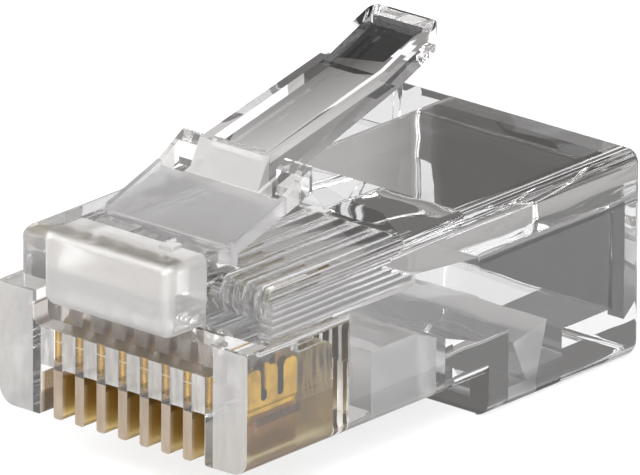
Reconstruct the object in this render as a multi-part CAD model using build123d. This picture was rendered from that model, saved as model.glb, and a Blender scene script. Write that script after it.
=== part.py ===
from build123d import *
import os

# Eight-way modular plug, moulded in clear plastic, with gilt blades that stand loose before crimping.
# Lengths are in millimetres. The forms are laid out from the nose: Y runs back from the comb's front
# face, Z up from the comb's lower edge, X across. At the end the plug is moved to stand centred.

# Body
body_width = 11.68
body_length = 21.8
nose_height = 6.5
tail_drop = 1.5
tail_start = 13.3
top_edge_radius = 0.5
base_edge_radius = 0.65
tail_edge_radius = 0.3

# Nose steps
ledge_height = 4.68
shoulder_setback = 1.0
shoulder_brow_radius = 0.9
shoulder_corner_radius = 0.4

# Comb
ways = 8
pitch = 1.02
jack_slot_width = 0.6
jack_slot_height = 1.93
jack_slot_length = 5.7
comb_edge_radius = 0.1
slot_relief_top = 3.45
slot_relief_radius = 0.35

# Blades
blade_thickness = 0.3
blade_front = 1.15
blade_length = 2.67
blade_foot = 0.15
blade_height = 3.25
blade_toe_radius = 0.45
blade_play = 0.03
tine_gap = 0.32
tine_depth = 1.27
tine_shoulder = 0.26
crimp_travel = 0.65

# Recess over the comb
recess_width = 8.5
recess_depth = 0.8
recess_floor = 3.36
recess_radius = 0.3
recess_lip = 0.15
recess_lip_foot = 0.6
recess_lip_head = 0.4

# Conductor channels and the chamber behind them
channel_diameter = 0.92
channel_height = 4.27
channel_front = 1.9
channel_back = 10.0
chamber_front = 6.5
chamber_floor = 2.4

# Cable cavity
cavity_width = 8.2
cavity_front = 13.64
cavity_roof = 4.4
cavity_floor = 0.35
cavity_sill = 1.16
cavity_crown_radius = 0.3
mouth_lip_length = 0.7
mouth_lip_drop = 0.6

# Bar that grips the conductors
wire_bar_front = 7.8
wire_bar_length = 3.6
wire_window_back = 11.8
wire_bar_foot = 0.1
wire_bar_heel_length = 1.24
wire_bar_heel_fall = 0.5

# Bar that grips the jacket
jacket_window_front = 15.3
jacket_window_length = 3.0
jacket_bar_top_front = 15.64
jacket_bar_top_length = 1.9
jacket_bar_top = 0.92
jacket_bar_fall = 0.4
jacket_bar_root = 16.64
jacket_bar_root_width = 0.5
jacket_web_thickness = 0.3
bar_play = 0.08

# Root of the latch
latch_width = 6.08
root_overhang = 1.0
root_back = 1.04
root_top = 7.45
root_corner_radius = 0.5
root_under_radius = 0.45
root_brow_radius = 0.3
root_gap_floor = 5.7
latch_side_play = 0.05
heel_clearance = 0.12
gate_stub_width = 0.55
gate_stub_length = 0.6
gate_stub_height = 0.14
gate_stub_offset = 1.6

# Living hinge of the latch
hinge_clearance = 0.05
hinge_thickness = 0.24
hinge_top_drop = 0.06
hinge_window_inner = 0.8
hinge_window_outer = 2.35
hinge_window_back = 1.98

# Latch plate
plate_front = 2.5
plate_top_front = 7.52
plate_heel = 6.62
plate_heel_length = 0.2
plate_under_front = 7.02
plate_back = 6.75
plate_slope_end = 5.4
plate_slope_rise = 0.96
side_rail_width = 0.22
side_rail_height = 0.17

# Locking ears at the back of the plate
ear_top = 9.26
ear_inner = 1.78
ear_depth = 0.5
ear_window_length = 0.95

# Thumb tab
tab_width = 3.24
tab_step_foot = 5.4
tab_step_head = 6.0
tab_head_top = 9.45
tab_bend = 12.6
tab_bend_top = 10.88
tab_under_bend = 13.2
tab_under_bend_height = 10.18
tab_tip = 15.5
tab_tip_top = 12.05
tab_tip_under = 11.13
tab_corner_radius = 0.4
trough_rail = 0.42
trough_depth = 0.42
trough_end_wall = 0.5
trough_front_wall = 0.3

channel_radius = channel_diameter / 2
latch_half = latch_width / 2
tab_half = tab_width / 2
way_centres = [(index - (ways - 1) / 2) * pitch for index in range(ways)]
channel_half_span = way_centres[-1] + channel_radius


def side_prism(points, left, right):
    """A solid with a constant side outline of (Y, Z) points, from X = left to X = right."""
    outline = make_face(Plane.YZ.offset(left) * Polyline(*points, close=True))
    return extrude(outline, amount=right - left, dir=(1, 0, 0))


def lengthwise(section, start, end):
    """A solid with a constant cross-section of (X, Z), from Y = start to Y = end."""
    return extrude(Plane.XZ.offset(-start) * section, amount=end - start, dir=(0, 1, 0))


def cross_block(half_width, low, high, start, end):
    """A rectangular block centred on X = 0."""
    section = Pos(0, (low + high) / 2) * Rectangle(2 * half_width, high - low)
    return lengthwise(section, start, end)


def funnel(start, start_box, end, end_box):
    """A straight-sided passage between two upright rectangles (half width, low, high)."""
    faces = []
    for place, (half_width, low, high) in ((start, start_box), (end, end_box)):
        outline = Pos(0, (low + high) / 2) * Rectangle(2 * half_width, high - low)
        faces.append(Plane.XZ.offset(-place) * outline)
    return loft(faces)


def body_section(low, high):
    """Cross-section of the body, rounded along its four long edges."""
    outline = Pos(0, (low + high) / 2) * Rectangle(body_width, high - low)
    outline = fillet(outline.vertices().sort_by(Axis.Y)[:2], base_edge_radius)
    return fillet(outline.vertices().sort_by(Axis.Y)[-2:], top_edge_radius)


def body_shell():
    """The outside of the body: nose, raised shoulders and the deeper tail."""
    nose = lengthwise(body_section(0, nose_height), 0, tail_start)
    tail = lengthwise(body_section(-tail_drop, nose_height), tail_start, body_length)
    tail = fillet(tail.faces().sort_by(Axis.Y)[-1].edges(), tail_edge_radius)
    shell = nose + tail
    shell -= cross_block(body_width, ledge_height, 2 * nose_height, -root_overhang, shoulder_setback)
    shoulder_uprights = shell.edges().filter_by(Axis.Z).group_by(Axis.Y)[1]
    shell = fillet(shoulder_uprights, shoulder_corner_radius)
    return shell - brow_cutter()


def brow_cutter():
    """What is cut away to round the top of the shoulders."""
    springing = nose_height - shoulder_brow_radius
    crown = shoulder_setback + shoulder_brow_radius
    arc = RadiusArc((shoulder_setback, springing), (crown, nose_height), shoulder_brow_radius)
    outline = make_face([
        arc,
        Polyline((crown, nose_height), (shoulder_setback, nose_height), (shoulder_setback, springing)),
    ])
    return extrude(Plane.YZ * outline, amount=body_width, both=True)


def latch_root():
    """The block on the nose that carries the latch."""
    root = cross_block(latch_half, ledge_height, root_top, -root_overhang, root_back)
    front = root.faces().sort_by(Axis.Y)[0].edges()
    root = fillet(front.filter_by(Axis.Z), root_corner_radius)
    front = root.faces().sort_by(Axis.Y)[0].edges().sort_by(Axis.Z)
    root = fillet(front[0], root_under_radius)
    brow = root.faces().sort_by(Axis.Y)[0].edges().sort_by(Axis.Z)[-1]
    root = fillet(brow, root_brow_radius)
    seated = (Align.CENTER, Align.MAX, Align.MIN)
    stub = Box(gate_stub_width, gate_stub_length, gate_stub_height, align=seated)
    return root + Pos(gate_stub_offset, root_back, root_top) * stub


def recess():
    """The recess over the comb, with rounded lower corners and a small lip at its outer top corners."""
    half = recess_width / 2
    outline = Polyline(
        (-half, recess_floor),
        (half, recess_floor),
        (half, ledge_height - recess_lip_foot),
        (half - recess_lip, ledge_height - recess_lip_head),
        (half - recess_lip, ledge_height),
        (recess_lip - half, ledge_height),
        (recess_lip - half, ledge_height - recess_lip_head),
        (-half, ledge_height - recess_lip_foot),
        close=True,
    )
    section = make_face(outline)
    section = fillet(section.vertices().sort_by(Axis.Y)[:2], recess_radius)
    return lengthwise(section, 0, recess_depth)


def slot_entry():
    """What is cut away below a slot to round the edges of the teeth on either side."""
    half = jack_slot_width / 2
    radius = comb_edge_radius
    outline = make_face([
        Polyline((-half, radius), (half, radius)),
        RadiusArc((half, radius), (half + radius, 0), -radius),
        Polyline((half + radius, 0), (-half - radius, 0)),
        RadiusArc((-half - radius, 0), (-half, radius), -radius),
    ])
    return lengthwise(outline, 0, jack_slot_length)


def blade_slots():
    """Slots for the blades: wide where the jack's wires enter, close to the blade higher up, open behind it."""
    slots = []
    guide_half = blade_thickness / 2 + blade_play
    guide_top = blade_foot + blade_height + crimp_travel + blade_play
    guide_front = blade_front - blade_play
    guide_back = blade_front + blade_length + blade_play
    mouth = cross_block(jack_slot_width / 2, 0, jack_slot_height, 0, jack_slot_length) + slot_entry()
    guide = cross_block(guide_half, jack_slot_height, guide_top, guide_front, guide_back)
    relief = cross_block(guide_half, jack_slot_height, slot_relief_top, guide_front, jack_slot_length)
    relief_crown = relief.edges().filter_by(Axis.X).group_by(Axis.Y)[-1].sort_by(Axis.Z)[-1]
    relief = fillet(relief_crown, slot_relief_radius)
    for centre in way_centres:
        slots += [Pos(centre, 0, 0) * cut for cut in (mouth, guide, relief)]
    return slots


def channels():
    """Round-ended channels that lead one conductor over each blade."""
    bores = []
    for centre in way_centres:
        section = Pos(centre, channel_height) * Circle(channel_radius)
        bores.append(lengthwise(section, channel_front, channel_back))
        bores.append(Pos(centre, channel_front, channel_height) * Sphere(channel_radius))
    return bores


def passages():
    """The way that the cable takes: mouth, cavity, funnel and the chamber over the wire bar."""
    half = cavity_width / 2
    sill_box = (half, cavity_sill, cavity_roof)
    throat_box = (channel_half_span, chamber_floor, channel_height + channel_radius)
    window_back = jacket_window_front + jacket_window_length
    section = Pos(0, (cavity_sill + cavity_roof) / 2) * Rectangle(cavity_width, cavity_roof - cavity_sill)
    section = fillet(section.vertices().sort_by(Axis.Y)[-2:], cavity_crown_radius)
    lip = [
        (body_length - mouth_lip_length, cavity_floor),
        (body_length, cavity_floor),
        (body_length, cavity_floor - mouth_lip_drop),
    ]
    return [
        lengthwise(section, cavity_front, body_length),
        cross_block(half, cavity_floor, cavity_sill, window_back, body_length),
        side_prism(lip, -half, half),
        cross_block(half, -tail_drop, cavity_sill, jacket_window_front, window_back),
        funnel(channel_back, throat_box, cavity_front, sill_box),
        cross_block(channel_half_span, chamber_floor, channel_height, chamber_front, channel_back),
        cross_block(channel_half_span, 0, chamber_floor, chamber_front, wire_window_back),
    ]


def housing():
    """The moulded body with everything that is cut into it."""
    shape = body_shell() + latch_root()
    gap_half = latch_half + latch_side_play
    gap_back = plate_front + plate_heel_length + heel_clearance
    shape -= cross_block(gap_half, root_gap_floor, 2 * nose_height, root_back, gap_back)
    shape -= recess()
    shape -= blade_slots()
    shape -= channels()
    shape -= passages()
    return shape


def blade():
    """One contact blade, with three rounded tines on its upper edge."""
    foot = blade_foot
    head = blade_foot + blade_height
    back = blade_front + blade_length
    outline = make_face(
        Polyline((blade_front, foot), (back, foot), (back, head), (blade_front, head), close=True)
    )
    notches = []
    for share in (1 / 3, 2 / 3):
        place = blade_front + blade_length * share
        notches.append(
            Pos(place, head) * SlotOverall(2 * tine_depth, tine_gap, rotation=90)
        )
    outline -= notches
    outline = fillet(outline.vertices().sort_by(Axis.Y)[-6:], tine_shoulder)
    toe = outline.vertices().sort_by(Axis.Y)[:2].sort_by(Axis.X)[0]
    outline = fillet(toe, blade_toe_radius)
    return extrude(Plane.YZ * outline, amount=blade_thickness / 2, both=True)


def wire_bar():
    """The block under the chamber that is driven up on to the conductors."""
    front = wire_bar_front
    back = wire_bar_front + wire_bar_length
    top = chamber_floor
    points = [
        (front, wire_bar_foot),
        (back, wire_bar_foot),
        (back, top - wire_bar_heel_fall),
        (back - wire_bar_heel_length, top),
        (front, top),
    ]
    return side_prism(points, bar_play - channel_half_span, channel_half_span - bar_play)


def jacket_bar():
    """The wedge that is driven up into the cavity to grip the cable's jacket."""
    top_back = jacket_bar_top_front + jacket_bar_top_length
    web_front = jacket_window_front + bar_play
    root_front = jacket_bar_root - jacket_bar_root_width / 2
    root_back_edge = jacket_bar_root + jacket_bar_root_width / 2
    web_top = -tail_drop + jacket_web_thickness
    points = [
        (web_front, -tail_drop + bar_play),
        (root_back_edge, -tail_drop + bar_play),
        (top_back, jacket_bar_top),
        (jacket_bar_top_front, jacket_bar_top - jacket_bar_fall),
        (root_front, web_top + bar_play),
        (web_front, web_top + bar_play),
    ]
    half = cavity_width / 2 - bar_play
    return side_prism(points, -half, half)


def latch():
    """The latch: living hinge, plate with its locking ears, and the thumb tab."""
    hinge_y = root_back + hinge_clearance + hinge_thickness / 2
    hinge_z = root_top - hinge_top_drop - hinge_thickness / 2
    hinge_top = hinge_z + hinge_thickness / 2
    hinge_low = hinge_z - hinge_thickness / 2
    plate_top_end = plate_top_front + plate_slope_rise
    under_slope = (tab_under_bend_height - plate_under_front) / (
        tab_under_bend - plate_front - plate_heel_length
    )
    under_back = plate_under_front + under_slope * (plate_back - plate_front - plate_heel_length)

    plate = side_prism(
        [
            (hinge_y, hinge_top),
            (plate_front, hinge_top),
            (plate_front, plate_top_front),
            (plate_slope_end, plate_top_end),
            (plate_back, ear_top),
            (plate_back, under_back),
            (plate_front + plate_heel_length, plate_under_front),
            (plate_front + plate_heel_length, plate_heel),
            (plate_front, plate_heel),
            (hinge_y, hinge_low),
        ],
        -latch_half,
        latch_half,
    )
    plate += Pos(0, hinge_y, hinge_z) * Rot(0, 90, 0) * Cylinder(hinge_thickness / 2, latch_width)

    floor_front = plate_top_front - side_rail_height
    floor_slope = plate_slope_rise / (plate_slope_end - plate_front)
    floor_end = floor_front + floor_slope * (plate_back - plate_front)
    above = 2 * ear_top
    pan = side_prism(
        [(0, floor_front), (plate_front, floor_front), (plate_back, floor_end),
         (2 * plate_back, floor_end), (2 * plate_back, above), (0, above)],
        side_rail_width - latch_half,
        latch_half - side_rail_width,
    )
    ear_front = plate_back - ear_depth
    keep_ears = side_prism(
        [(ear_front, 0), (plate_back, 0), (plate_back, above), (ear_front, above)],
        -latch_half,
        latch_half,
    )
    between_ears = side_prism(
        [(ear_front, floor_front), (2 * plate_back, floor_front), (2 * plate_back, above),
         (ear_front, above)],
        -ear_inner,
        ear_inner,
    )
    between_ears &= pan
    plate -= pan - keep_ears
    plate -= between_ears
    shape = plate

    tab = side_prism(
        [
            (tab_step_foot, floor_front + floor_slope * (tab_step_foot - plate_front)),
            (tab_step_head, tab_head_top),
            (tab_bend, tab_bend_top),
            (tab_tip, tab_tip_top),
            (tab_tip, tab_tip_under),
            (tab_under_bend, tab_under_bend_height),
            (tab_step_foot, under_back - under_slope * (plate_back - tab_step_foot)),
        ],
        -tab_half,
        tab_half,
    )
    plan = Pos(0, tab_tip / 2) * Rectangle(tab_width, tab_tip)
    plan = fillet(plan.vertices().sort_by(Axis.Y)[-2:], tab_corner_radius)
    tab &= extrude(plan, amount=above)
    trough_start = tab_step_head + trough_front_wall
    trough_stop = tab_tip - trough_end_wall
    head_slope = (tab_bend_top - tab_head_top) / (tab_bend - tab_step_head)
    tip_slope = (tab_tip_top - tab_bend_top) / (tab_tip - tab_bend)
    start_top = tab_head_top + head_slope * trough_front_wall
    stop_top = tab_tip_top - tip_slope * trough_end_wall
    trough = side_prism(
        [
            (trough_start, start_top - trough_depth),
            (tab_bend, tab_bend_top - trough_depth),
            (trough_stop, stop_top - trough_depth),
            (trough_stop, above),
            (trough_start, above),
        ],
        trough_rail - tab_half,
        tab_half - trough_rail,
    )
    shape += tab - trough

    windows = []
    for side in (-1, 1):
        inner = side * hinge_window_inner
        outer = side * hinge_window_outer
        windows.append(
            side_prism(
                [(0, 0), (hinge_window_back, 0), (hinge_window_back, above), (0, above)],
                min(inner, outer),
                max(inner, outer),
            )
        )
        inner = side * ear_inner
        outer = side * (latch_half - side_rail_width)
        window_front = ear_front - ear_window_length
        windows.append(
            side_prism(
                [(window_front, 0), (ear_front, 0), (ear_front, above), (window_front, above)],
                min(inner, outer),
                max(inner, outer),
            )
        )
    return shape - windows


def main():
    os.makedirs("parts", exist_ok=True)
    seat = Pos(0, (root_overhang - body_length) / 2, tail_drop)
    export_step(seat * housing(), "parts/housing.step")
    export_step(seat * latch(), "parts/latch_lever.step")
    export_step(seat * wire_bar(), "parts/conductor_strain_relief.step")
    export_step(seat * jacket_bar(), "parts/jacket_strain_relief.step")
    for number, centre in enumerate(way_centres, start=1):
        export_step(seat * Pos(centre, 0, 0) * blade(), f"parts/contact_{number}.step")


main()
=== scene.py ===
"""Finishes, contacts and studio for a clear modular cable plug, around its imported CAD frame."""

import math

import bpy
from mathutils import Matrix, Vector


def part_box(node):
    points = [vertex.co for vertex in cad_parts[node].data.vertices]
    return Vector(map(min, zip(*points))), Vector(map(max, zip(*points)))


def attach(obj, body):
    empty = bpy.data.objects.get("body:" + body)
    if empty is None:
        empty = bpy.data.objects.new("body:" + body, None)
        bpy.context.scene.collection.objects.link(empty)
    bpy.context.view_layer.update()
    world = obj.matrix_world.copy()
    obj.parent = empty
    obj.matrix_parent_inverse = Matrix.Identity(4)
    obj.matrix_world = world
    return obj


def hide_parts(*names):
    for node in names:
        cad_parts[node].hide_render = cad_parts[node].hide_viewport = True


bl_info = {
    "name": "Clear modular plug",
    "version": (1, 0, 0),
    "blender": (4, 5, 0),
    "location": "3D View > Sidebar > Plug",
    "description": "Clear plastic, gilt contacts and a studio for a modular cable plug",
    "category": "Object",
}

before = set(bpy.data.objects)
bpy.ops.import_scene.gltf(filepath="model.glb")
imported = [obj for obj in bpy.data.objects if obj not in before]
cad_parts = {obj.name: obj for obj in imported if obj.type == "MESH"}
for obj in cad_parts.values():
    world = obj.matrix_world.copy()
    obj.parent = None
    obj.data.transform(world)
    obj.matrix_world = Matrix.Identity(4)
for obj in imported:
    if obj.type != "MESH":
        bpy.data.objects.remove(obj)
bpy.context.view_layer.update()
MM = 0.001
PHOTO_SIZE = (640, 475)
# The nose frame of the plug, which its sizes are read in, in millimetres:
# Y from the comb's front face, Z from the comb's lower edge.
NOSE_ORIGIN = Vector((0, -10.4, 1.5)) * MM

# Solids are cut at this many times their size, where the cut comes out clean.
CUT_SCALE = 1000
MERGE_REACH = 1e-4
BLADE_EDGE = 0.05 * MM

# The width over which one finish turns into the next.
SOFT = 0.03 * MM
# Half widths across the plug.
COMB_HALF = 3.9 * MM
# Past LAST_SLOT_WALL on the left, the outermost slot's wall is painted in shade.
LAST_SLOT_WALL = 3.7 * MM
ROOT_HALF = 3.06 * MM
SHOULDER_INNER = 3.12 * MM
CAVITY_HALF = 4.1 * MM
PILLAR_INNER = 4.25 * MM
RECESS_HALF = 4.27 * MM
DIVIDER_CORE_HALF = 0.19 * MM
# Heights in the nose frame, in millimetres; BELOW and ABOVE lie beyond the faces that they bound.
BELOW, ABOVE = -1, 9
SLOT_TOP = 1.60
HEAD_FOOT, HEAD_TOP = 1.85, 3.34
BACK_TOP = 3.42
SHOULDER_FOOT = 4.2
PILLAR_TOP = 4.6
RECESS_TOP = 4.69
# Depths in the nose frame, in millimetres; AHEAD lies in front of the comb.
AHEAD = -0.1
SLOT_BACK = 5.72
PLATE_START, PLATE_END, STEP_END = 2.3, 5.35, 6.03

# Heights in the nose frame, in millimetres, of the lower and upper cards beside the plug.
CARD_FOOT, CARD_SPLIT, CARD_TOP = -1.45, 4.2, 25


def nose(x, y, z):
    """A point given in millimetres from the nose, in the plug's frame."""
    return Vector((x, y, z)) * MM + NOSE_ORIGIN


def upright(depth, corners):
    """The corners, given across and up, of a card that stands at a depth behind the nose."""
    return [nose(x, depth, z) for x, z in corners]


def level(height, corners):
    """The corners, given across and back, of a card that lies at a height over the comb's lower edge."""
    return [nose(x, y, height) for x, y in corners]


class Wire:
    """A value socket that reads as a number in an expression."""

    def __init__(self, tree, socket):
        self.tree = tree
        self.socket = socket

    def math(self, operation, *others, clamp=False):
        node = self.tree.nodes.new("ShaderNodeMath")
        node.operation = operation
        node.use_clamp = clamp
        for place, value in enumerate((self, *others)):
            if isinstance(value, Wire):
                self.tree.links.new(value.socket, node.inputs[place])
            else:
                node.inputs[place].default_value = value
        return Wire(self.tree, node.outputs[0])

    def __add__(self, other):
        return self.math("ADD", other)

    def __mul__(self, other):
        return self.math("MULTIPLY", other)

    def __sub__(self, other):
        return self.math("SUBTRACT", other)

    def __truediv__(self, other):
        return self.math("DIVIDE", other)

    def __neg__(self):
        return self * -1

    def __rsub__(self, other):
        return -self + other

    __radd__ = __add__
    __rmul__ = __mul__

    def most(self, other):
        return self.math("MAXIMUM", other)

    def size(self):
        return self.math("ABSOLUTE")

    def off_centre(self):
        """The distance of a count from the middle of its whole step, -0.5 to 0.5."""
        return self.math("FRACT") - 0.5

    def above(self, edge, soft=SOFT):
        """0 below edge and 1 above it, over a width of soft."""
        return ((self - edge) / soft + 0.5).math("ADD", 0, clamp=True)

    def below(self, edge, soft=SOFT):
        return 1 - self.above(edge, soft)


class Sheet:
    """A node tree under construction."""

    def node(self, kind, settings=None, **sockets):
        """Adds a node: settings first, then its sockets' values or links, spaces in their names as _."""
        made = self.tree.nodes.new(kind)
        for key, value in (settings or {}).items():
            setattr(made, key, value)
        for key, value in sockets.items():
            socket = made.inputs[key.replace("_", " ")]
            if isinstance(value, Wire):
                value = value.socket
            if isinstance(value, bpy.types.NodeSocket):
                self.tree.links.new(value, socket)
            else:
                socket.default_value = value
        return made

    def wire(self, socket):
        return Wire(self.tree, socket)


class Paint(Sheet):
    """A material under construction."""

    def __init__(self, name):
        self.material = bpy.data.materials.new(name)
        self.material.use_nodes = True
        self.tree = self.material.node_tree
        self.tree.nodes.clear()
        self.output = self.tree.nodes.new("ShaderNodeOutputMaterial")

    def place(self):
        """The point being shaded, in the plug's frame, whole and as X, Y and Z."""
        coordinates = self.node("ShaderNodeTexCoord").outputs["Object"]
        split = self.node("ShaderNodeSeparateXYZ", Vector=coordinates)
        return coordinates, [self.wire(out) for out in split.outputs]

    def noise(self, coordinates, scale, detail):
        made = self.node("ShaderNodeTexNoise", Vector=coordinates, Scale=scale, Detail=detail)
        return self.wire(made.outputs["Fac"])

    def mix_colour(self, share, first, second):
        made = self.node("ShaderNodeMix", {"data_type": "RGBA"})
        self.tree.links.new(share.socket, made.inputs[0])
        for place, value in ((6, first), (7, second)):
            if isinstance(value, bpy.types.NodeSocket):
                self.tree.links.new(value, made.inputs[place])
            else:
                made.inputs[place].default_value = (*value, 1)
        return made.outputs[2]

    def mix_shader(self, share, first, second):
        made = self.node("ShaderNodeMixShader", Fac=share)
        self.tree.links.new(first.outputs[0], made.inputs[1])
        self.tree.links.new(second.outputs[0], made.inputs[2])
        return made

    def finish(self, shader):
        self.tree.links.new(shader.outputs[0], self.output.inputs["Surface"])
        return self.material


class Form(Sheet):
    """A Geometry Nodes group under construction, with named inputs."""

    def __init__(self, name, inputs):
        self.tree = bpy.data.node_groups.new(name, "GeometryNodeTree")
        self.tree.interface.new_socket("Geometry", in_out="OUTPUT", socket_type="NodeSocketGeometry")
        for title, kind in inputs.items():
            self.tree.interface.new_socket(title, in_out="INPUT", socket_type=f"NodeSocket{kind}")
        self.entry = self.tree.nodes.new("NodeGroupInput")
        self.exit = self.tree.nodes.new("NodeGroupOutput")

    def given(self, title):
        return self.wire(self.entry.outputs[title])

    def slab(self, curve, thickness):
        """A closed solid from a flat outline, centred on its own plane."""
        flat = self.node("GeometryNodeFillCurve", {"mode": "NGONS"}, Curve=curve)
        back = self.node("GeometryNodeFlipFaces", Mesh=flat.outputs[0])
        raised = self.node(
            "GeometryNodeExtrudeMesh", {"mode": "FACES"}, Mesh=flat.outputs[0],
            Offset_Scale=thickness, Individual=False,
        )
        both = self.node("GeometryNodeJoinGeometry")
        self.tree.links.new(back.outputs[0], both.inputs[0])
        self.tree.links.new(raised.outputs[0], both.inputs[0])
        closed = self.node("GeometryNodeMergeByDistance", Geometry=both.outputs[0], Distance=MERGE_REACH)
        shift = self.node("ShaderNodeCombineXYZ", Z=thickness * -0.5)
        centred = self.node(
            "GeometryNodeTransform", Geometry=closed.outputs[0], Translation=shift.outputs[0]
        )
        return centred.outputs[0]

    def finish(self, geometry, material):
        whole = self.node("GeometryNodeRealizeInstances", Geometry=geometry)
        dressed = self.node("GeometryNodeSetMaterial", Geometry=whole.outputs[0], Material=material)
        self.tree.links.new(dressed.outputs[0], self.exit.inputs[0])
        return self.tree


def link(name, data):
    """A new object in the scene."""
    made = bpy.data.objects.new(name, data)
    bpy.context.scene.collection.objects.link(made)
    return made


def grow(name, group, values, bevel):
    """A plain mesh from a group's geometry, its edges rounded."""
    holder = link(name, bpy.data.meshes.new(name))
    modifier = holder.modifiers.new("form", "NODES")
    modifier.node_group = group
    for item in group.interface.items_tree:
        if item.in_out == "INPUT":
            modifier[item.identifier] = values[item.name]
    rounding = holder.modifiers.new("edges", "BEVEL")
    rounding.width = bevel
    rounding.segments = 2
    rounding.limit_method = "ANGLE"
    rounding.harden_normals = True
    view = bpy.context.evaluated_depsgraph_get()
    mesh = bpy.data.meshes.new_from_object(holder.evaluated_get(view), depsgraph=view)
    if not mesh.polygons:
        raise RuntimeError(f"{name} came out empty")
    mesh.name = name
    holder.modifiers.clear()
    holder.data = mesh
    return holder


def arc(centre, radius, start, end, steps=8):
    """Points along an arc, from one angle to another in degrees."""
    turns = [math.radians(start + (end - start) * step / steps) for step in range(steps + 1)]
    return [(centre[0] + radius * math.cos(turn), centre[1] + radius * math.sin(turn)) for turn in turns]


def outline(name, points):
    """A closed flat curve through the points."""
    curve = bpy.data.curves.new(name, "CURVE")
    spline = curve.splines.new("POLY")
    spline.points.add(len(points) - 1)
    for point, (x, y) in zip(spline.points, points):
        point.co = (x, y, 0, 1)
    spline.use_cyclic_u = True
    return link(name, curve)


def gap_outline(settings):
    """What is cut out between two tines: a slot with a round root and a flared mouth, its top on Y = 0."""
    half, flare, depth = settings.tine_gap / 2, settings.tine_shoulder, settings.tine_depth
    wide = half + flare
    points = arc((0, half - depth), half, 180, 360)
    points += arc((wide, -flare), flare, 180, 90)
    points += [(wide, flare), (-wide, flare)]
    points += arc((-wide, -flare), flare, 90, 0)
    return outline("tine_gap_outline", points)


def blade_form():
    """A stamped blade: a rectangle with a round toe and shoulders, and flared gaps cut along its top."""
    form = Form("stamped_blade", {
        "Length": "Float", "Height": "Float", "Thickness": "Float", "Toe": "Float", "Shoulder": "Float",
        "Gap": "Object", "Gaps": "Int", "Gap spacing": "Float", "Centre": "Vector", "Material": "Material",
    })
    length, height, thickness, spacing = [
        form.given(title) * CUT_SCALE for title in ("Length", "Height", "Thickness", "Gap spacing")
    ]
    plate = form.node("GeometryNodeCurvePrimitiveQuadrilateral", Width=length, Height=height)
    corner = form.node("ShaderNodeSeparateXYZ", Vector=form.node("GeometryNodeInputPosition").outputs[0])
    behind, upper = [form.wire(out).math("GREATER_THAN", 0.0) for out in corner.outputs[:2]]
    radius = upper * form.given("Shoulder") + (1 - upper) * (1 - behind) * form.given("Toe")
    radius = radius.most(BLADE_EDGE) * CUT_SCALE
    rounded = form.node(
        "GeometryNodeFilletCurve", {"mode": "POLY"}, Curve=plate.outputs[0], Count=8, Radius=radius
    )
    body = form.slab(rounded.outputs[0], thickness)
    first = form.node("ShaderNodeCombineXYZ", X=spacing * (form.given("Gaps") - 1) * -0.5, Y=height * 0.5)
    step = form.node("ShaderNodeCombineXYZ", X=spacing)
    row = form.node(
        "GeometryNodeMeshLine", {"mode": "OFFSET"}, Count=form.given("Gaps"),
        Start_Location=first.outputs[0], Offset=step.outputs[0],
    )
    gap = form.node("GeometryNodeObjectInfo", Object=form.given("Gap"))
    enlarged = form.node("GeometryNodeTransform", Geometry=gap.outputs["Geometry"], Scale=(CUT_SCALE,) * 3)
    cutter = form.slab(enlarged.outputs[0], thickness * 2)
    cutters = form.node("GeometryNodeInstanceOnPoints", Points=row.outputs[0], Instance=cutter)
    whole_cutters = form.node("GeometryNodeRealizeInstances", Geometry=cutters.outputs[0])
    cut = form.node("GeometryNodeMeshBoolean", {"operation": "DIFFERENCE"}, Mesh_1=body)
    form.tree.links.new(whole_cutters.outputs[0], cut.inputs["Mesh 2"])
    stood = form.node(
        "GeometryNodeTransform", Geometry=cut.outputs[0], Translation=form.given("Centre"),
        Rotation=(math.radians(90), 0, math.radians(90)), Scale=(1 / CUT_SCALE,) * 3,
    )
    return form.finish(stood.outputs[0], form.given("Material"))


def clear_plastic(name, settings, frosted):
    """Polished clear plastic with frosted faces.

    frosted(paint, x, y, z) gives the share of frosting, its colour and the share of satin at a point.
    """
    paint = Paint(name)
    coordinates, (x, y, z) = paint.place()
    frost, tint, satin = frosted(paint, x, y, z)
    cloud = paint.noise(coordinates, 900.0, 3.0)
    grain = paint.noise(coordinates, 14000.0, 3.0)
    wave = paint.noise(coordinates, 240.0, 1.0)
    sink = paint.node("ShaderNodeBump", Strength=1.0, Distance=settings.waviness, Height=wave)
    clear = paint.node(
        "ShaderNodeBsdfPrincipled",
        Base_Color=(*settings.tint, 1),
        Roughness=settings.polish_roughness * (cloud + 0.5) + settings.satin_roughness * satin,
        IOR=settings.ior,
        Transmission_Weight=1.0,
        Normal=sink.outputs[0],
    )
    bump = paint.node("ShaderNodeBump", Strength=0.5, Distance=0.02 * MM, Height=grain)
    sanded = paint.mix_colour(grain.above(0.55, 0.3) * settings.grain_share, tint, settings.grain_tint)
    frosting = paint.node(
        "ShaderNodeBsdfPrincipled",
        Base_Color=sanded,
        Roughness=settings.frost_roughness,
        IOR=settings.ior,
        Transmission_Weight=settings.frost_clarity,
        Normal=bump.outputs[0],
    )
    return paint.finish(paint.mix_shader(frost, clear, frosting))


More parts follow.
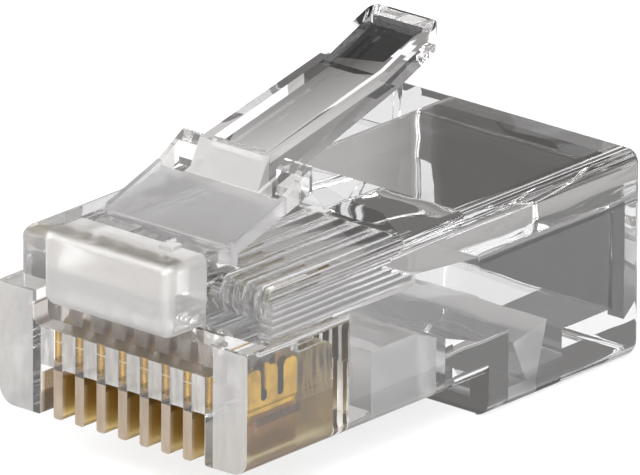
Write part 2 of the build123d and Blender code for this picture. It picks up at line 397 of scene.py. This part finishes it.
def gilt(name, settings, pitch):
    """Gold plating over blades stamped at a pitch: fine draw lines, a darker rim of painted shade along each
    narrow edge.
    """
    paint = Paint(name)
    coordinates, (x, _, _) = paint.place()
    cloud = paint.noise(coordinates, 1500.0, 3.0)
    across = ((x / pitch).off_centre() * pitch).size()
    # The rim is painted shade along the narrow edges; the cloud darkens the gold at random.
    rim = across.above(0.07 * MM, 0.06 * MM) * across.below(0.135 * MM, 0.02 * MM)
    shade = (rim + cloud.above(0.5, 0.35) * 0.6).math("MINIMUM", 1.0)
    lines = paint.node("ShaderNodeMapping", Vector=coordinates, Scale=(1.0, 0.08, 1.0))
    streak = paint.noise(lines.outputs[0], 24000.0, 2.0)
    bump = paint.node("ShaderNodeBump", Strength=0.25, Distance=0.004 * MM, Height=streak)
    shader = paint.node(
        "ShaderNodeBsdfPrincipled",
        Base_Color=paint.mix_colour(shade, settings.gold, settings.deep_gold),
        Metallic=1.0,
        Roughness=0.10 + 0.14 * cloud,
        Normal=bump.outputs[0],
    )
    return paint.finish(shader)


def contact_pitch():
    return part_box("contact_2")[0].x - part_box("contact_1")[0].x


def wear(node, material):
    """Gives a CAD node its finish."""
    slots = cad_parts[node].data.materials
    slots.clear()
    slots.append(material)


class NoseMasks:
    """Shares from 0 to 1 that pick out the housing's faces around its nose."""

    def __init__(self, paint, x, y, z):
        self.paint = paint
        self.x, self.y, self.z = x, y, z
        self.across = x.size()
        self.comb = self.across.below(COMB_HALF)
        self.front = self.depth(AHEAD, 0.03)
        # Streaks along the mould's opening.
        drawn = paint.node("ShaderNodeCombineXYZ", X=x, Y=y * 0.3, Z=z * 0.2)
        self.streaks = paint.noise(drawn.outputs[0], 3600.0, 2.0).above(0.5, 0.25)

    def depth(self, low, high, soft=SOFT):
        """1 between two depths in millimetres from the comb's front."""
        return self.y.above(nose(0, low, 0).y, soft) * self.y.below(nose(0, high, 0).y, soft)

    def height(self, low, high, soft=SOFT):
        """1 between two heights in millimetres from the comb's lower edge."""
        return self.z.above(nose(0, 0, low).z, soft) * self.z.below(nose(0, 0, high).z, soft)

    def root(self):
        """The block that carries the latch, its front face frosted most."""
        block = self.depth(-3, 1.06) * self.height(RECESS_TOP, ABOVE) * self.across.below(ROOT_HALF)
        return block * (0.5 + 0.5 * self.y.below(nose(0, -0.72, 0).y, 0.3 * MM))

    def slots(self):
        """The walls of the blade slots and the dividers' front faces, where the gold's reflection and the
        slots' shade are painted.
        """
        walls = self.height(BELOW, SLOT_TOP) * self.depth(-1, SLOT_BACK)
        return walls.most(self.front * self.height(BELOW, HEAD_FOOT)) * self.comb

    def behind(self):
        """The walls behind the blades, where the blades' reflection is painted as bars."""
        return self.depth(3.85, SLOT_BACK) * self.height(SLOT_TOP, BACK_TOP) * self.comb

    def heads(self, pitch):
        """The dividers' heads, away from the middle of each, where the gold shows through; their pale
        frosting is a painted highlight.
        """
        middle = ((self.x / pitch + 0.5).off_centre() * pitch).size()
        sides = middle.above(DIVIDER_CORE_HALF, 0.05 * MM)
        return self.depth(AHEAD, 1.1) * self.height(HEAD_FOOT, HEAD_TOP) * self.comb * sides

    def witness_line(self):
        """The line across the dividers' heads where the mould's halves meet."""
        return self.front * self.height(2.92, 2.98, 0.02 * MM) * self.comb

    def pillars(self):
        return self.front * self.across.above(PILLAR_INNER) * self.height(BELOW, PILLAR_TOP)

    def shoulders(self):
        return self.depth(-0.2, 1.9) * self.height(SHOULDER_FOOT, 7) * self.across.above(SHOULDER_INNER)

    def channels(self):
        """The satin walls that the core pins of the conductor channels leave."""
        return self.height(3.78, 4.76) * self.depth(1.3, 10.1) * self.across.below(CAVITY_HALF)

    def recess(self):
        sides = self.across.below(RECESS_HALF)
        return self.height(HEAD_TOP, RECESS_TOP) * self.depth(0.02, 0.82) * sides

    def bars(self):
        """Upright bars of painted reflection: the blades as they show in the walls behind them."""
        stretch = self.paint.node("ShaderNodeCombineXYZ", X=0.0, Y=self.y, Z=self.z * 0.12)
        bars = self.paint.noise(stretch.outputs[0], 5200.0, 1.0).above(0.5, 0.12)
        return bars * self.height(1.9, 3.5, 0.9 * MM)


class PlasticSettings(bpy.types.PropertyGroup):
    tint: bpy.props.FloatVectorProperty(
        name="Tint", description="Colour of the clear plastic",
        subtype="COLOR", default=(0.95, 0.95, 0.955),
    )
    frost_tint: bpy.props.FloatVectorProperty(
        name="Frosted tint", description="Colour of the frosted faces",
        subtype="COLOR", default=(0.80, 0.78, 0.76),
    )
    grain_tint: bpy.props.FloatVectorProperty(
        name="Grain", description="Colour of the specks in the frosting",
        subtype="COLOR", default=(0.90, 0.88, 0.86),
    )
    # The plate's grey is painted shade on its frosting.
    shaded_plate_tint: bpy.props.FloatVectorProperty(
        name="Plate", description="Colour of the latch's frosted plate",
        subtype="COLOR", default=(0.66, 0.65, 0.66),
    )
    pale_tint: bpy.props.FloatVectorProperty(
        name="Pale tint", description="Colour of the frosted heads and pillars",
        subtype="COLOR", default=(0.97, 0.95, 0.93),
    )
    # The recess's dark brown is painted shade.
    recess_shade_tint: bpy.props.FloatVectorProperty(
        name="Recess", description="Colour of the recess above the comb",
        subtype="COLOR", default=(0.36, 0.31, 0.27),
    )
    # The comb's fronts are frosted, and tinted tan by a painted reflection of the gold behind them.
    comb_gold_reflection_tint: bpy.props.FloatVectorProperty(
        name="Comb", description="Colour of the comb's frosted fronts",
        subtype="COLOR", default=(0.86, 0.71, 0.58),
    )
    # The slots' gold-brown is a painted reflection of the gilding.
    slot_gold_reflection_tint: bpy.props.FloatVectorProperty(
        name="Slots", description="Colour of the slots, where the gilding shows",
        subtype="COLOR", default=(0.44, 0.27, 0.04),
    )
    # A lighter painted reflection of the gold, along the slots' lower edge and between the painted bars
    # behind the blades.
    foot_gold_reflection_tint: bpy.props.FloatVectorProperty(
        name="Slot feet", description="Colour of the slots along their lower edge",
        subtype="COLOR", default=(0.80, 0.61, 0.22),
    )
    dark_tint: bpy.props.FloatVectorProperty(
        name="Slot shade", description="Colour of the slots' shaded depths",
        subtype="COLOR", default=(0.10, 0.045, 0.008),
    )
    grain_share: bpy.props.FloatProperty(
        name="Grain share", description="How far the specks cover the frosting",
        default=0.08, min=0.0, max=1.0,
    )
    satin_roughness: bpy.props.FloatProperty(
        name="Satin", description="Roughness of the walls that the core pins leave",
        default=0.12, min=0.0, max=1.0,
    )
    frost_clarity: bpy.props.FloatProperty(
        name="Frost clarity", description="Share of light that the frosting lets through",
        default=0.85, min=0.0, max=1.0,
    )
    waviness: bpy.props.FloatProperty(
        name="Waviness", description="Height of the moulded faces' slow waves",
        unit="LENGTH", default=0.04 * MM,
    )
    ior: bpy.props.FloatProperty(
        name="Refraction", description="Index of refraction of the plastic",
        default=1.585, min=1.0, max=2.0,
    )
    polish_roughness: bpy.props.FloatProperty(
        name="Polish", description="Roughness of the polished faces",
        default=0.015, min=0.0, max=1.0,
    )
    frost_roughness: bpy.props.FloatProperty(
        name="Frosting", description="Roughness of the frosted faces",
        default=0.35, min=0.0, max=1.0,
    )


class ContactSettings(bpy.types.PropertyGroup):
    gold: bpy.props.FloatVectorProperty(
        name="Gold", description="Bright gold of the plating",
        subtype="COLOR", default=(0.70, 0.43, 0.03),
    )
    # Deep gold serves for random darker patches and for the painted shade along the blades' edges.
    deep_gold: bpy.props.FloatVectorProperty(
        name="Deep gold", description="Darker gold of the plating",
        subtype="COLOR", default=(0.26, 0.13, 0.012),
    )
    tine_gap: bpy.props.FloatProperty(
        name="Gap", description="Width of the gap between two tines",
        unit="LENGTH", default=0.32 * MM,
    )
    tine_depth: bpy.props.FloatProperty(
        name="Gap depth", description="Depth of the gap between two tines",
        unit="LENGTH", default=1.27 * MM,
    )
    tine_shoulder: bpy.props.FloatProperty(
        name="Shoulder", description="Radius of the tines' corners",
        unit="LENGTH", default=0.26 * MM,
    )
    toe: bpy.props.FloatProperty(
        name="Toe", description="Radius of the blade's lower front corner",
        unit="LENGTH", default=0.45 * MM,
    )
    gaps: bpy.props.IntProperty(
        name="Gaps", description="Number of gaps between tines",
        default=2, min=0,
    )


class StudioSettings(bpy.types.PropertyGroup):
    floor_colour: bpy.props.FloatVectorProperty(
        name="Floor", description="Colour of the floor",
        subtype="COLOR", default=(0.9, 0.9, 0.9),
    )
    azimuth: bpy.props.FloatProperty(
        name="Azimuth", description="Camera's turn about the plug",
        subtype="ANGLE", default=math.radians(40.5345),
    )
    elevation: bpy.props.FloatProperty(
        name="Elevation", description="Camera's height above the horizon",
        subtype="ANGLE", default=math.radians(20.1949),
    )
    roll: bpy.props.FloatProperty(
        name="Roll", description="Camera's tilt about its line of sight",
        subtype="ANGLE", default=math.radians(-0.3581),
    )
    distance: bpy.props.FloatProperty(
        name="Distance", description="From the camera to the plug",
        unit="LENGTH", default=0.6,
    )
    pixels_per_metre: bpy.props.FloatProperty(
        name="Scale", description="Pixels of the picture in one metre at the plug",
        default=28107.8,
    )
    flag_level: bpy.props.FloatProperty(
        name="Flag level", description="Brightness of the dark cards behind the plug",
        default=0.045, min=0.0, max=1.0,
    )
    card_level: bpy.props.FloatProperty(
        name="Card level", description="Brightness of the grey card behind the plug",
        default=0.35, min=0.0, max=1.0,
    )


class PLUG_OT_plastic(bpy.types.Operator):
    """Gives the housing, the latch and the bars their clear plastic"""

    bl_idname = "plug.plastic"
    bl_label = "Clear plastic"

    def housing_frost(self, paint, x, y, z):
        settings = bpy.context.scene.plug_plastic
        masks = NoseMasks(paint, x, y, z)
        slots, behind, recess = masks.slots(), masks.behind(), masks.recess()
        heads, pillars, shoulders = masks.heads(contact_pitch()), masks.pillars(), masks.shoulders()

        # The comb's fronts: tan with streaks of gold-brown, a painted reflection of the gold.
        fronts = paint.mix_colour(masks.streaks * 0.3, settings.comb_gold_reflection_tint, settings.slot_gold_reflection_tint)
        # Inside the slots: a painted reflection of the gold, lighter along the lower edge.
        foot = masks.height(BELOW, 0.25, 0.3 * MM)
        deep = paint.mix_colour(foot, settings.slot_gold_reflection_tint, settings.foot_gold_reflection_tint)
        # Painted shade under the blades and on the outermost slot's wall.
        shade = masks.height(1.25, SLOT_TOP, 0.1 * MM) * masks.depth(1.5, 3.9, 0.2 * MM)
        deep = paint.mix_colour(shade, deep, settings.dark_tint)
        deep = paint.mix_colour(x.below(-LAST_SLOT_WALL), deep, settings.dark_tint)
        inside = y.above(nose(0, 0.12, 0).y, 0.2 * MM)
        tint = paint.mix_colour(slots, settings.frost_tint, paint.mix_colour(inside, fronts, deep))
        # Behind the blades: dark bars on lighter gold, a painted reflection of the blades.
        reflected_blades = paint.mix_colour(masks.bars(), settings.foot_gold_reflection_tint, settings.dark_tint)
        tint = paint.mix_colour(behind, tint, reflected_blades)
        # The recess above the comb is painted in shade.
        tint = paint.mix_colour(recess, tint, settings.recess_shade_tint)
        # The heads' pale frosting is a painted highlight; the pillars and shoulders are frosted pale.
        tint = paint.mix_colour(heads.most(pillars).most(shoulders), tint, settings.pale_tint)

        frost = masks.root().most(slots).most(recess * 0.9).most(behind * 0.85)
        frost = frost.most(pillars * (0.74 + 0.06 * masks.streaks)).most(masks.witness_line() * 0.6)
        # More frosting on the heads paints their glints.
        frost = frost.most(heads * (0.6 + 0.25 * masks.streaks))
        frost = frost.most(shoulders * (0.12 + 0.25 * x.below(0.0)))
        return frost, tint, masks.channels()

    def latch_frost(self, paint, x, y, z):
        settings = bpy.context.scene.plug_plastic
        plate = y.below(nose(0, PLATE_END, 0).y) * y.above(nose(0, PLATE_START, 0).y)
        step = y.above(nose(0, PLATE_END, 0).y) * y.below(nose(0, STEP_END, 0).y)
        # The frosted plate is grey with painted shade; the step, facing the light, is pale with a painted
        # highlight.
        tint = paint.mix_colour(step, settings.shaded_plate_tint, settings.pale_tint)
        return plate * 0.5 + step * 0.8, tint, plate * 0

    def bar_frost(self, paint, x, y, z):
        return x * 0 + 0.3, bpy.context.scene.plug_plastic.pale_tint, x * 0

    def execute(self, context):
        settings = context.scene.plug_plastic
        wear("housing", clear_plastic("housing_plastic", settings, self.housing_frost))
        wear("latch_lever", clear_plastic("latch_plastic", settings, self.latch_frost))
        bars = clear_plastic("bar_plastic", settings, self.bar_frost)
        wear("conductor_strain_relief", bars)
        wear("jacket_strain_relief", bars)
        return {"FINISHED"}


class PLUG_OT_contacts(bpy.types.Operator):
    """Gives the contact blades their gold"""

    bl_idname = "plug.contacts"
    bl_label = "Gilt contacts"

    def execute(self, context):
        settings = context.scene.plug_contacts
        material = gilt("gilt_plating", settings, contact_pitch())
        form = blade_form()
        gap = gap_outline(settings)
        for node in sorted(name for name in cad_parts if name.startswith("contact_")):
            low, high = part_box(node)
            size = high - low
            wear(node, material)
            values = {
                "Length": size.y, "Height": size.z, "Thickness": size.x, "Toe": settings.toe,
                "Shoulder": settings.tine_shoulder, "Gap": gap, "Gaps": settings.gaps,
                "Gap spacing": size.y / (settings.gaps + 1), "Centre": (low + high) / 2,
                "Material": material,
            }
            piece = grow(node.replace("contact", "blade"), form, values, BLADE_EDGE)
            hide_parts(node)
            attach(piece, node)
        bpy.data.objects.remove(gap)
        return {"FINISHED"}


class PLUG_OT_stage(bpy.types.Operator):
    """Makes the floor, the cards, the lights and the camera"""

    bl_idname = "plug.stage"
    bl_label = "Studio"

    def plate(self, name, corners, material):
        mesh = bpy.data.meshes.new(name)
        mesh.from_pydata([tuple(corner) for corner in corners], [], [tuple(range(len(corners)))])
        mesh.materials.append(material)
        piece = link(name, mesh)
        return piece

    def glow(self, name, strength, fade, one_sided):
        """A card's own light.

        fade says where across the plug it changes, over what width, and its strength to the left.
        """
        paint = Paint(name)
        warm = Vector((1.0, 0.97, 0.95))
        colour = (*(warm * strength), 1)
        if fade:
            place, width, left = fade
            x = paint.place()[1][0]
            colour = paint.mix_colour(x.below(place, width), warm * strength, warm * left)
        light = paint.node("ShaderNodeEmission", Color=colour, Strength=1.0)
        if not one_sided:
            return paint.finish(light)
        rear = paint.node("ShaderNodeNewGeometry").outputs["Backfacing"]
        return paint.finish(paint.mix_shader(rear, light, paint.node("ShaderNodeBsdfTransparent")))

    def card(self, name, corners, strength, fade=None, one_sided=False):
        """A card that only metal and clear plastic show."""
        card = self.plate(name, corners, self.glow(name, strength, fade, one_sided))
        card.visible_camera = False
        card.visible_diffuse = False
        card.visible_shadow = False

    def cards(self, settings):
        """Dark and grey cards behind, beside, under and above the plug, in its nose frame; those under it
        are painted shade on the floor.
        """
        dark, grey = settings.flag_level, settings.card_level
        mouth = ((-12, -1.5), (5.8, -1.5), (5.8, 6.4), (-4.8, 6.4), (-7.2, 5.6), (-12, 5.4))
        self.card("mouth_flag", upright(22.6, mouth), dark, (-6.8 * MM, 5 * MM, 0.6))
        trough = ((-5.6, 8.7), (-1.6, 9.3), (0.8, 11.6), (-1.7, 11.4), (-4.0, 10.3))
        self.card("tab_flag", upright(16.2, trough), dark * 0.5)
        under_tab = (
            (2.0, 8.0), (2.0, 22.5), (-9.6, 22.5), (-9.6, 20.6), (-7.6, 18.4), (-5.1, 12.0), (-2.5, 8.0)
        )
        self.card("tab_card", level(6.56, under_tab), 0.7, (-4.8 * MM, 5 * MM, 0.12), one_sided=True)
        self.card("grey_card", upright(40, ((-60, -1.4), (40, -1.4), (40, 30), (-60, 30))), grey)
        # A dark card under the tail is painted shade: the floor's shadow as the plastic shows it.
        tail = ((-5.8, 13.0), (5.8, 13.0), (5.8, 24.0), (0.0, 24.0), (0.0, 18.2), (-5.8, 18.2))
        self.card("tail_flag", level(CARD_FOOT, tail), dark * 3)
        sky = ((-250, -250), (-250, 250), (250, 250), (250, -250))
        self.card("sky_card", level(150, sky), grey * 0.7, one_sided=True)
        # A grey card under the nose is painted shade on the floor beneath it.
        under_nose = ((-4.2, -4), (5.8, -4), (5.8, 13.0), (-4.2, 13.0))
        self.card("nose_flag", level(-1.47, under_nose), grey * 1.5)
        beside = ((-6.0, CARD_FOOT), (-40, CARD_FOOT), (-40, CARD_SPLIT), (-6.0, CARD_SPLIT))
        for depth in (7, 11, 15):
            self.card(f"side_flag_{depth}", upright(depth, beside), dark * 3, one_sided=True)
        over = ((-6.0, CARD_SPLIT), (-40, CARD_SPLIT), (-40, CARD_TOP), (-6.0, CARD_TOP))
        self.card("side_card", upright(15, over), grey, one_sided=True)

    def floor(self, settings):
        """A pale floor that shows white and keeps part of the plug's shadow."""
        paint = Paint("floor_pale")
        diffuse = paint.node("ShaderNodeBsdfDiffuse", Color=(*settings.floor_colour, 1))
        white = paint.node("ShaderNodeEmission", Color=(1, 1, 1, 1), Strength=1.0)
        path = paint.node("ShaderNodeLightPath")
        seen = [paint.wire(path.outputs[f"Is {ray} Ray"]) for ray in ("Camera", "Glossy", "Transmission")]
        share = seen[0].most(seen[1]).most(seen[2]) * 0.75
        reach = 0.6
        corners = [(-reach, -reach, 0), (reach, -reach, 0), (reach, reach, 0), (-reach, reach, 0)]
        self.plate("floor", corners, paint.finish(paint.mix_shader(share, diffuse, white)))

    def lamp(self, name, place, size, power):
        """A square soft lamp that faces the plug."""
        data = bpy.data.lights.new(name, "AREA")
        data.shape = "SQUARE"
        data.size = size
        data.energy = power
        lamp = link(name, data)
        lamp.location = place
        lamp.rotation_mode = "QUATERNION"
        lamp.rotation_quaternion = (Vector((0, 0, 5 * MM)) - Vector(place)).to_track_quat("-Z", "Y")

    def world(self):
        """White to the camera and to what glass and metal show, and a soft fill to all else."""
        world = bpy.data.worlds.new("studio")
        bpy.context.scene.world = world
        world.use_nodes = True
        sheet = Sheet()
        sheet.tree = world.node_tree
        sheet.tree.nodes.clear()
        path = sheet.node("ShaderNodeLightPath")
        seen = [sheet.wire(path.outputs[f"Is {ray} Ray"]) for ray in ("Camera", "Glossy", "Transmission")]
        mix = sheet.node("ShaderNodeMixShader", Fac=seen[0].most(seen[1]).most(seen[2]))
        for place, strength in ((1, 0.45), (2, 1.0)):
            light = sheet.node("ShaderNodeBackground", Strength=strength)
            sheet.tree.links.new(light.outputs[0], mix.inputs[place])
        output = sheet.node("ShaderNodeOutputWorld")
        sheet.tree.links.new(mix.outputs[0], output.inputs[0])

    def camera(self, settings):
        a, e = settings.azimuth, settings.elevation
        back = Vector((math.sin(a) * math.cos(e), -math.cos(a) * math.cos(e), math.sin(e)))
        right = Vector((math.cos(a), math.sin(a), 0))
        up = back.cross(right)
        turned = Matrix((right, up, back)).transposed() @ Matrix.Rotation(-settings.roll, 3, "Z")
        aim = Vector((3.684, -3.962, 8.293)) * MM
        data = bpy.data.cameras.new("camera")
        data.sensor_width = 36.0
        data.lens = data.sensor_width * settings.pixels_per_metre * settings.distance / PHOTO_SIZE[0]
        data.clip_start, data.clip_end = 0.01, 10.0
        camera = link("camera", data)
        camera.matrix_world = Matrix.Translation(aim + back * settings.distance) @ turned.to_4x4()
        bpy.context.scene.camera = camera

    def execute(self, context):
        settings = context.scene.plug_studio
        self.camera(settings)
        self.world()
        self.floor(settings)
        self.cards(settings)
        self.lamp("key", (0.25, -0.25, 0.5), 0.4, 6.0)
        self.lamp("side", (-0.45, -0.1, 0.2), 0.3, 3.0)
        self.lamp("front", (0.1, -0.5, 0.15), 0.3, 3.0)
        scene = context.scene
        scene.view_settings.view_transform = "Standard"
        scene.cycles.max_bounces = 24
        scene.cycles.transmission_bounces = 24
        scene.cycles.glossy_bounces = 16
        return {"FINISHED"}


class PLUG_PT_panel(bpy.types.Panel):
    """Lists the steps that dress the plug"""

    bl_idname = "PLUG_PT_panel"
    bl_label = "Clear modular plug"
    bl_space_type = "VIEW_3D"
    bl_region_type = "UI"
    bl_category = "Plug"

    def draw(self, context):
        column = self.layout.column(align=True)
        for operator in OPERATORS:
            column.operator(operator.bl_idname)
        for group in SETTINGS:
            settings = getattr(context.scene, group)
            for key in settings.__annotations__:
                column.prop(settings, key)


OPERATORS = (PLUG_OT_plastic, PLUG_OT_contacts, PLUG_OT_stage)
SETTINGS = {"plug_plastic": PlasticSettings, "plug_contacts": ContactSettings, "plug_studio": StudioSettings}
CLASSES = (*SETTINGS.values(), *OPERATORS, PLUG_PT_panel)


def register():
    for made in CLASSES:
        bpy.utils.register_class(made)
    for key, group in SETTINGS.items():
        setattr(bpy.types.Scene, key, bpy.props.PointerProperty(type=group))


def unregister():
    for key in SETTINGS:
        delattr(bpy.types.Scene, key)
    for made in reversed(CLASSES):
        bpy.utils.unregister_class(made)


def main():
    register()
    bpy.ops.plug.plastic()
    bpy.ops.plug.contacts()
    bpy.ops.plug.stage()


if __name__ == "__main__":
    main()
